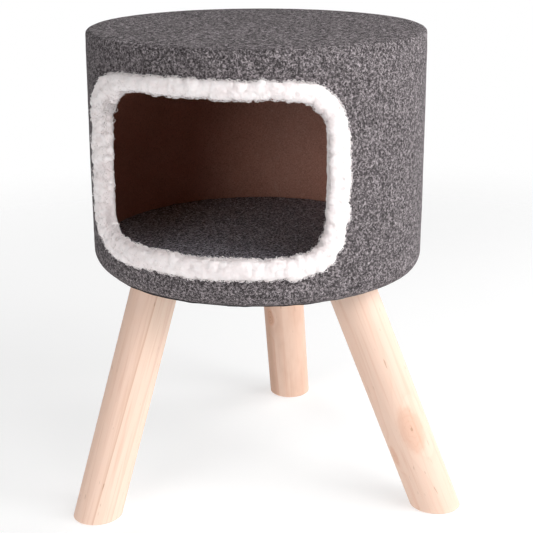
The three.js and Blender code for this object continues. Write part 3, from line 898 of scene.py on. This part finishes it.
def fleece_curls(points, normals):
    """Loose curls of fleece standing out of the band, each a short bent strand with closed ends."""
    random = np.random.default_rng(17)
    rows, columns, _ = points.shape
    row = random.integers(0, rows, CURLS)
    across = np.where(
        random.random(CURLS) < 0.3,
        random.uniform(0.06, 0.58, CURLS),
        random.choice((0.08, 0.48), CURLS) + random.normal(0, 0.035, CURLS),
    )
    column = np.clip(np.round(across * columns), 1, columns - 2).astype(int)
    foot, out = points[row, column], normals[row, column]
    aside = np.cross(out, random.normal(size=(CURLS, 3)))
    aside /= np.linalg.norm(aside, axis=1, keepdims=True)
    third = np.cross(out, aside)
    lean = random.uniform(-1.1, 1.1, (CURLS, 1))
    rise = out * np.cos(lean) + third * np.sin(lean)
    loop = random.uniform(0.0008, 0.0021, (CURLS, 1, 1))
    thick = random.uniform(0.00018, 0.00032, (CURLS, 1, 1, 1))
    turn = np.linspace(math.radians(-30), math.radians(200), CURL_STEPS + 1)[None, :, None]
    swing = aside[:, None] * np.cos(turn) + rise[:, None] * np.sin(turn)
    line = foot[:, None] + loop * (swing + 0.15 * out[:, None])
    binormal = np.cross(aside, rise)[:, None]
    taper = np.sin(np.linspace(0.5, math.pi - 0.5, CURL_STEPS + 1))[None, :, None, None]
    corner = np.arange(4) * math.pi / 2
    ring = swing[:, :, None] * np.cos(corner)[:, None] + binormal[:, :, None] * np.sin(corner)[:, None]
    strands = line[:, :, None] + ring * thick * taper
    single = grid_quads(CURL_STEPS + 1, 4, wrap_columns=True)
    ends = np.array([[0, 1, 2, 3], [4 * CURL_STEPS + k for k in (3, 2, 1, 0)]])
    if inside_out(strands[0].reshape(-1, 3) - foot[0], [single]):
        single = single[:, ::-1]
    faces = np.concatenate([single, ends])
    quads = (faces[None] + np.arange(CURLS)[:, None, None] * 4 * (CURL_STEPS + 1)).reshape(-1, 4)
    make_piece("fleece_curls", strands, [quads], FLEECE, crease=180)


def fleece_trim():
    """The sherpa band folded over the edge of the entrance, thick and lumpy outside and thinner inside."""
    outline, way = entrance_outline(TRIM_ROWS)
    marks, reaches, lips = np.array(TRIM_WIDTHS).T
    share = np.arange(TRIM_ROWS) / TRIM_ROWS
    reach = np.interp(share, marks, reaches, period=1)
    lip = np.interp(share, marks, lips, period=1)
    blur = np.hanning(TRIM_ROWS // 60)
    blur /= blur.sum()
    once = slice(TRIM_ROWS, 2 * TRIM_ROWS)
    reach, lip = (np.convolve(np.tile(width, 3), blur, "same")[once] for width in (reach, lip))
    lumps = Noise(5)
    place = np.column_stack([outline, 0 * outline[:, 0]])
    for height, shift, cell in REACH_LUMPS:
        reach = reach + height * lumps(place + shift, cell)
    for height, shift, cell in LIP_LUMPS:
        lip = lip + height * lumps(place + shift, cell)
    bulge = TRIM_BULGE + 0.0009 * lumps(place + 4, 0.018)
    section = catmull(trim_section(reach, lip, bulge), TRIM_SHOWN)
    out, front = section[..., 0], section[..., 1]
    along = outline[:, :1] + out * way[:, :1]
    level = outline[:, 1:] + out * way[:, 1:]
    points = wall_points(along, level, front)
    normals = grid_normals(points, wrap_columns=False)
    middle = points[:, TRIM_SHOWN // 3]
    outwards = middle - np.array([AXIS.x, AXIS.y, 0])
    if (normals[:, TRIM_SHOWN // 3] * outwards * (1, 1, 0)).sum() < 0:
        normals = -normals
    across = np.linspace(0, 1, TRIM_SHOWN)
    strength = smooth_step(across, 0.0, 0.08) * smooth_step(across, 1.0, 0.92)
    strength *= 1 - 0.65 * smooth_step(across, 0.50, 0.62)
    strength = np.tile(strength, (TRIM_ROWS, 1))
    for spacing, height, seed in NUBS:
        points = nub_relief(points, normals, strength, spacing, height, seed)
    fleece_curls(points, normals)

    def back_row(beyond, front):
        """A row of points under the fleece, a distance outside the entrance and in front of the wall."""
        return wall_points(outline[:, 0] + beyond * way[:, 0], outline[:, 1] + beyond * way[:, 1], front)

    hidden = [
        (0.0070, -TRIM_BACK + 0.0001),
        (0.0030, -TRIM_BACK + 0.0001),
        (-0.0003, -TRIM_BACK + 0.0001),
        (-0.0003, -0.0040),
        (-0.0003, 0.0002),
    ]
    backs = [back_row(*pair) for pair in hidden]
    backs += [back_row(part * (reach - 0.001), 0.0009) for part in (0.33, 0.66, 0.9)]
    ring = np.concatenate([points, np.stack(backs, axis=1)], axis=1)
    quads = grid_quads(TRIM_ROWS, ring.shape[1], wrap_rows=True, wrap_columns=True)
    piece = make_piece(
        "fleece_trim", ring, [quads], FLEECE, stands_for=["opening_trim"], crease=80
    )


# ---------------------------------------------------------------- pad

PAD_CELLS = 84
PAD_RIM_SHARE = 0.42  # how high the pad's seam lies between its flat side and its crown
PAD_START = 0.8  # how full the pad is before it is blown up
PAD_GIVE = 0.004  # how far the cover moves before its cap starts to hold it


def swell(points, quads, held, pressure=4.0, frames=20):
    """Blows a closed mesh up like a filled cushion, with some of its points held still."""
    mesh = bpy.data.meshes.new("swelling")
    mesh.from_pydata(points.tolist(), [], quads.tolist())
    cushion = new_object("swelling", mesh)
    scene = bpy.context.scene
    group = cushion.vertex_groups.new(name="held")
    group.add(held.tolist(), 1.0, "REPLACE")
    cloth = cushion.modifiers.new("cloth", "CLOTH")
    cloth.settings.quality = 6
    cloth.settings.mass = 0.15
    cloth.settings.tension_stiffness = 25
    cloth.settings.compression_stiffness = 25
    cloth.settings.bending_stiffness = 1.5
    cloth.settings.use_pressure = True
    cloth.settings.uniform_pressure_force = pressure
    cloth.settings.vertex_group_mass = "held"
    cloth.settings.effector_weights.gravity = 0
    cloth.collision_settings.use_collision = False
    cloth.point_cache.frame_start = 1
    cloth.point_cache.frame_end = frames
    for step in range(1, frames + 1):
        scene.frame_set(step)
    swollen = cushion.evaluated_get(bpy.context.evaluated_depsgraph_get())
    result = np.array([vertex.co for vertex in swollen.data.vertices])
    scene.frame_set(1)
    bpy.data.objects.remove(cushion)
    bpy.data.meshes.remove(mesh)
    return result


def pad_cushion():
    """The loose pad: a felt cover over foam, blown up by cloth pressure inside its CAD solids' space."""
    low = min(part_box(node)[0].z for node in ("pad_cover_base", "pad_foam"))
    box_low, box_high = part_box("pad_cover_top")
    radius = (box_high.x - box_low.x) / 2
    bearing, share, quads = disc_grid(PAD_CELLS)
    noise = Noise(41)
    rim = low + PAD_RIM_SHARE * (box_high.z - low)
    reach = radius * np.sin(share * math.pi / 2) ** 0.9
    round_off = np.clip(1 - share**14, 0, 1) ** 0.5
    flat = around(bearing, reach, 0)
    gathers = 1 + 0.5 * smooth_step(share, 0.80, 0.97) * noise(np.column_stack([bearing * radius] * 3), 0.012)
    upper = around(bearing, reach, rim + PAD_START * (box_high.z - rim) * round_off * gathers)
    under = around(bearing, reach, rim - PAD_START * (rim - low) * round_off)
    points, faces = closed_sheet(upper, under, quads)
    seam = np.flatnonzero(np.tile(share > 0.999, 2))
    points = swell(points, faces, seam)
    count = len(upper)
    middle = np.array([AXIS.x, AXIS.y])
    outwards = points[:, :2] - middle
    distance = np.linalg.norm(outwards, axis=1)
    outwards *= (np.minimum(distance, radius) / np.maximum(distance, 1e-9))[:, None]
    points[:, :2] = middle + outwards
    room_above = (box_high.z - 0.0004 - rim) * round_off
    room_below = (rim - low) * round_off
    soft = 0.0003 * noise(flat, 0.035) + 0.00018 * noise(flat, 0.010)
    rise = np.maximum(points[:count, 2] - rim, 0)
    fall = np.maximum(rim - points[count:, 2], 0)
    points[:count, 2] = rim + room_above * np.tanh(rise / PAD_GIVE) + (soft - 0.0003) * round_off
    points[count:, 2] = rim - room_below * np.tanh(fall / PAD_GIVE)
    piece = make_piece(
        "pad_cushion",
        points,
        [faces],
        LIGHTER_PAD_FELT,
        body="pad",
        stands_for=["pad_cover_top", "pad_foam", "pad_cover_base"],
    )
    smoother = piece.modifiers.new("smoother", "SUBSURF")
    smoother.levels = smoother.render_levels = 1


# ---------------------------------------------------------------- legs

LEG_NOISE = Noise(61)
LEG_BEVEL = 0.0011
LEG_WAVES = 0.00012  # how far a leg is from round
LEGS = {
    "leg_front_left": {
        "grain": (2.585, 0.027, 0.0090, 0.58, 0.09),
        "knots": (),
        "pale": rgb(0.88, 0.672, 0.548),
        "warm": rgb(0.89, 0.640, 0.515),
    },
    "leg_front_right": {
        "grain": (-0.45, 0.010, 0.0100, 0.20, 0.05),
        "knots": ((0.44, 0.097, 0.0130, 0.0265, 0.55), (-0.86, 0.0716, 0.0055, 0.0130, 0.60)),
        "pale": rgb(0.82, 0.600, 0.485),
        "warm": rgb(0.80, 0.568, 0.452),
    },
    # The back leg's much darker warm colour, at its left side as seen from the camera, and the brown halo
    # round its knot near the top are partly the wood's own tone and partly painted shade.
    "leg_back": {
        "grain": (-2.02, -0.010, 0.0130, 0.35, 0.22),
        "knots": ((-2.17, 0.136, 0.0060, 0.0150, 1.0),),
        "pale": rgb(0.82, 0.588, 0.468),
        "warm": rgb(0.60, 0.370, 0.265),
    },
}


def end_centre(node, highest):
    """The middle of a leg's flat end."""
    co = np.array([v.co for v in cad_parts[node].data.vertices], float)
    level = co[:, 2].max() if highest else co[:, 2].min()
    end = co[abs(co[:, 2] - level) < 1e-4]
    return Vector(((end.max(0) + end.min(0)) / 2).tolist())


def leg(node, grain, knots, pale, warm):
    """A turned pine leg, sawn level at both ends with the edges just broken."""
    foot, top = end_centre(node, False), end_centre(node, True)
    length = (top - foot).length
    turn = (top - foot).to_track_quat("Z", "Y")
    home = Matrix.Translation(foot) @ turn.to_matrix().to_4x4()
    up = turn.inverted() @ Vector((0, 0, 1))
    angle = np.arange(LEG_SIDES) * 2 * math.pi / LEG_SIDES
    circle = np.column_stack([3 * np.cos(angle), 3 * np.sin(angle), 0 * angle])
    wave = LEG_RADIUS + LEG_WAVES * LEG_NOISE(circle, 1.0)

    def slant(share, middle, offset=0.0):
        """A ring on the plane of a level cut, moved along the leg by an offset."""
        x, y = share * wave * np.cos(angle), share * wave * np.sin(angle)
        return np.column_stack([x, y, middle - (up.x * x + up.y * y) / up.z + offset])

    broken = 1 - LEG_BEVEL / LEG_RADIUS
    inwards = (broken, 0.82, 0.6, 0.35, 0.12)
    lowest, highest = slant(1, 0, LEG_BEVEL), slant(1, length, -LEG_BEVEL)
    rings = [slant(share, 0) for share in reversed(inwards)]
    rings += [lowest * (1 - share) + highest * share for share in np.linspace(0, 1, LEG_RINGS)]
    rings += [slant(share, length) for share in inwards]
    points = np.concatenate(rings + [[(0, 0, 0)], [(0, 0, length)]])
    quads = grid_quads(len(rings), LEG_SIDES, wrap_columns=True)
    last = (len(rings) - 1) * LEG_SIDES
    side = np.arange(LEG_SIDES)
    following = np.roll(side, -1)
    foot_fan = np.column_stack([side, following, np.full(LEG_SIDES, len(points) - 2)])
    top_fan = np.column_stack([last + following, last + side, np.full(LEG_SIDES, len(points) - 1)])
    placed = points @ np.array(home.to_3x3()).T + np.array(foot)
    material = pine_material("pine_" + node, home, grain, knots, pale, warm)
    make_piece(node + "_turned", placed, [quads, foot_fan, top_fan], material, stands_for=[node])


# ---------------------------------------------------------------- camera, floor and light


def camera():
    """The camera where the picture was taken from."""
    level_way = Vector((math.sin(CAMERA_YAW), math.cos(CAMERA_YAW), 0)) * math.cos(CAMERA_PITCH)
    forward = level_way - Vector((0, 0, math.sin(CAMERA_PITCH)))
    right = Vector((math.cos(CAMERA_YAW), -math.sin(CAMERA_YAW), 0))
    up = right.cross(forward)
    side = math.cos(CAMERA_ROLL) * right + math.sin(CAMERA_ROLL) * up
    top = math.cos(CAMERA_ROLL) * up - math.sin(CAMERA_ROLL) * right
    turn = Matrix.Rotation(CAMERA_BEARING, 3, "Z")
    axes = Matrix([turn @ side, turn @ top, turn @ -forward]).transposed()
    data = bpy.data.cameras.new("camera")
    data.lens = CAMERA_LENS
    data.sensor_width = SENSOR_WIDTH
    data.clip_start = 0.05
    data.clip_end = 100.0
    made = new_object("camera", data)
    stand = Vector((math.sin(CAMERA_BEARING), -math.cos(CAMERA_BEARING), 0)) * CAMERA_DISTANCE
    place = Vector((AXIS.x, AXIS.y, CAMERA_LEVEL)) + stand
    made.matrix_world = Matrix.Translation(place) @ axes.to_4x4()
    bpy.context.scene.camera = made


ROOM_LIGHT = 0.0
FLOOR_LEVEL = -0.0003
FLOOR_REACH = 0.8
FLOOR_GLOW = 0.62
LIGHT_DISTANCE = 1.7
LIGHT_SIZE = 0.9
LIGHT_AIM = 0.3
LIGHTS = (
    ("key_high", 100, 45, 6.5),
    ("key_upper", 55, 45, 11),
    ("key_side", 82, 12, 19),
    ("key_behind", 135, 12, 10.5),
    ("front_fill", -15, 13, 12),
    ("back_fill", 235, 30, 8),
)


def area_light(name, bearing, elevation, power):
    """A soft square light at a bearing from the entrance and an elevation, aimed at the drum's axis."""
    data = bpy.data.lights.new(name, "AREA")
    data.size = LIGHT_SIZE
    data.energy = power
    made = new_object(name, data)
    turn, rise = math.radians(bearing), math.radians(elevation)
    way = Vector((math.sin(turn) * math.cos(rise), -math.cos(turn) * math.cos(rise), math.sin(rise)))
    made.location = Vector((AXIS.x, AXIS.y, LIGHT_AIM)) + LIGHT_DISTANCE * way
    made.rotation_mode = "QUATERNION"
    made.rotation_quaternion = (-way).to_track_quat("-Z", "Y")


def studio():
    """A pale floor that fades out, a room that only the camera sees as white, and soft lights."""
    half = 4 * FLOOR_REACH
    mesh = bpy.data.meshes.new("floor")
    corners = [(x, y, FLOOR_LEVEL) for x, y in ((-half, -half), (half, -half), (half, half), (-half, half))]
    mesh.from_pydata(corners, [], [(0, 1, 2, 3)])
    floor = new_object("floor", mesh)
    graph = Graph("floor", Roughness=0.9, Emission_Strength=FLOOR_GLOW)
    graph.shader.inputs["Emission Color"].default_value = rgb(1.0, 1.0, 1.0)
    tone = graph.noise(graph.place(), 3.0, 2.0)
    graph.colour(graph.mix(tone, rgb(0.43, 0.43, 0.43), rgb(0.45, 0.45, 0.45)))
    away = graph.add("VectorMath", {0: graph.place()}, "Value", operation="LENGTH")
    graph.feed(graph.shader.inputs["Alpha"], graph.band(away, 2 * FLOOR_REACH, FLOOR_REACH))
    mesh.materials.append(graph.material)
    world = bpy.data.worlds.new("room")
    world.use_nodes = True
    background = world.node_tree.nodes["Background"]
    background.inputs["Color"].default_value = rgb(1.0, 1.0, 1.0)
    path = world.node_tree.nodes.new("ShaderNodeLightPath")
    strength = world.node_tree.nodes.new("ShaderNodeMapRange")
    strength.inputs["To Min"].default_value = ROOM_LIGHT
    world.node_tree.links.new(path.outputs["Is Camera Ray"], strength.inputs["Value"])
    world.node_tree.links.new(strength.outputs["Result"], background.inputs["Strength"])
    bpy.context.scene.world = world
    bpy.context.scene.view_settings.view_transform = "Standard"
    for name, bearing, elevation, power in LIGHTS:
        area_light(name, bearing, elevation, power)


# ---------------------------------------------------------------- the build


METAL_PARTS = ("hanger_bolt", "tee_nut", "top_staple", "base_staple", "seam_staple", "hem_staple")


def finish_cad_nodes():
    """Gives the hard CAD parts that stay their own finish."""
    finishes = {"top_panel": FIBREBOARD, "base_panel": FIBREBOARD}
    for node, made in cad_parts.items():
        if node.startswith(METAL_PARTS):
            finishes[node] = ZINC
    for node, material in finishes.items():
        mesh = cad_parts[node].data
        mesh.materials.clear()
        mesh.materials.append(material)


camera()
shell_board()
foam_sheet()
side_felt()
top_felt()
dust_cover()
fleece_trim()
pad_cushion()
for leg_node, look in LEGS.items():
    leg(leg_node, **look)
finish_cad_nodes()
studio()
